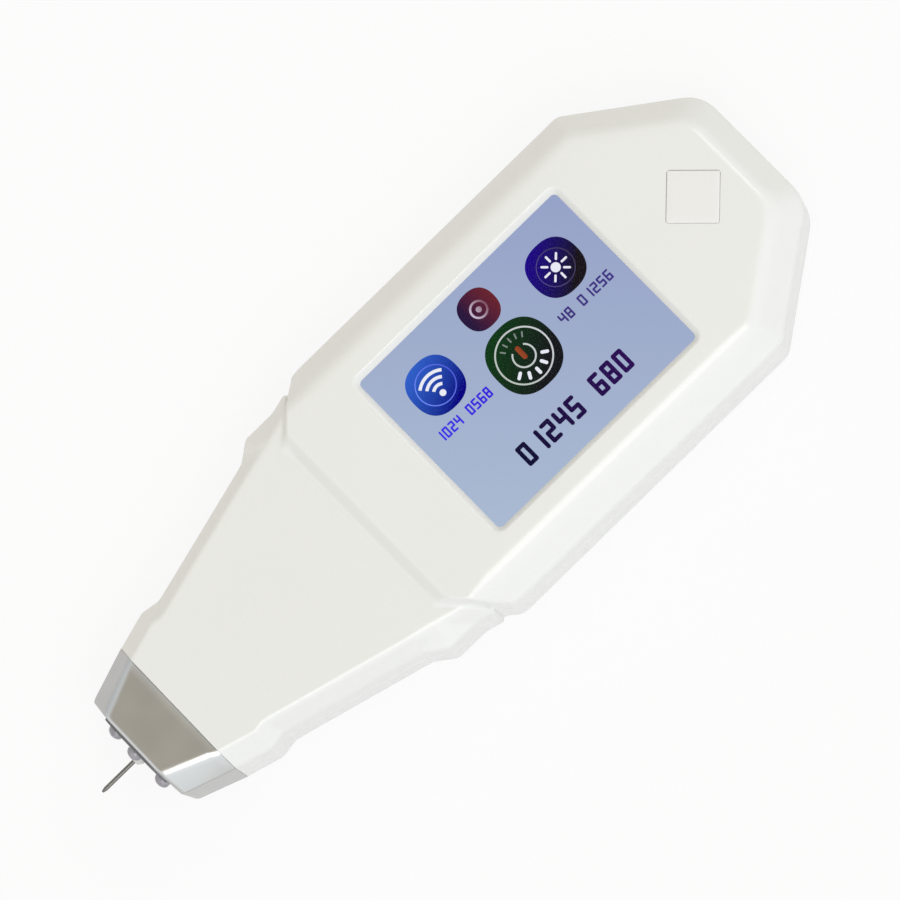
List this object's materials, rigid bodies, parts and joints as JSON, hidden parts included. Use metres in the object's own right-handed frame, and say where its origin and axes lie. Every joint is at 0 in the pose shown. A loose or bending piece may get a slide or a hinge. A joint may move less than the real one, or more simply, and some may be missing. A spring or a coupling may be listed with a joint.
{
  "type": "diamond multi-tester",
  "caption": "Hand-held gem tester with a wide eight-sided head and colour touch screen, a tapered finger grip, a power key and a faceted metal nose with a sprung needle probe between lamps.",
  "frame": {"origin": "middle of the overall length and width, on the flat underside", "axes": "+X from the needle to the head end, +Y up as the screen is read, +Z out of the screen"},
  "size_m": [0.164, 0.0584, 0.023],
  "materials": {
    "casing": "satin moulded off-white",
    "key": "satin moulded off-white",
    "nose_metal": "satin",
    "needle_metal": "dull",
    "bush_plastic": "smooth",
    "lamp_lens": "clear tinted",
    "screen_glass": "gloss",
    "display": "lit panel",
    "black_rubber": "matte",
    "white_plastic": "matte",
    "flex_cable": "smooth",
    "dark_plastic": "matte",
    "circuit_board": "satin",
    "steel": "satin",
    "brass": "turned",
    "cell_foil": "foil",
    "heater_coat": "matte"
  },
  "bodies": {
    "casing": {"top_shell": "casing", "bottom_shell": "casing", "nose_cap": "nose_metal", "screen_gasket": "black_rubber", "touch_glass": "screen_glass", "lcd_panel": "display", "lcd_frame": "white_plastic", "lcd_ribbon": "flex_cable", "tact_switch": "steel", "main_board": "circuit_board", "board_chips": "dark_plastic", "radio_module": "steel", "buzzer": "dark_plastic", "usb_socket": "steel", "battery": "cell_foil", "battery_pad": "black_rubber", "probe_spring": "steel", "probe_bush": "bush_plastic", "probe_barrel": "brass", "barrel_cap": "brass", "probe_holder": "dark_plastic", "probe_ribbon": "flex_cable", "uv_leds": "lamp_lens", "test_lamp": "lamp_lens", "led_board": "circuit_board", "led_ribbon": "flex_cable", "case_screws": "steel", "board_screws": "steel", "nose_screws": "steel"},
    "key": {"power_key": "key", "switch_plunger": "dark_plastic"},
    "probe": {"probe_needle": "needle_metal", "probe_carrier": "white_plastic", "probe_heater": "heater_coat"}
  },
  "joints": [
    {"name": "key_press", "type": "slide", "parent": "casing", "child": "key", "axis": [0, 0, -1], "range_m": [0, 0.0005], "stiffness_N_per_m": 600, "springref_m": -0.0005},
    {"name": "probe_press", "type": "slide", "parent": "casing", "child": "probe", "axis": [1, 0, 0], "range_m": [0, 0.002], "stiffness_N_per_m": 400, "springref_m": -0.002, "deforming": ["probe_spring"]}
  ]
}
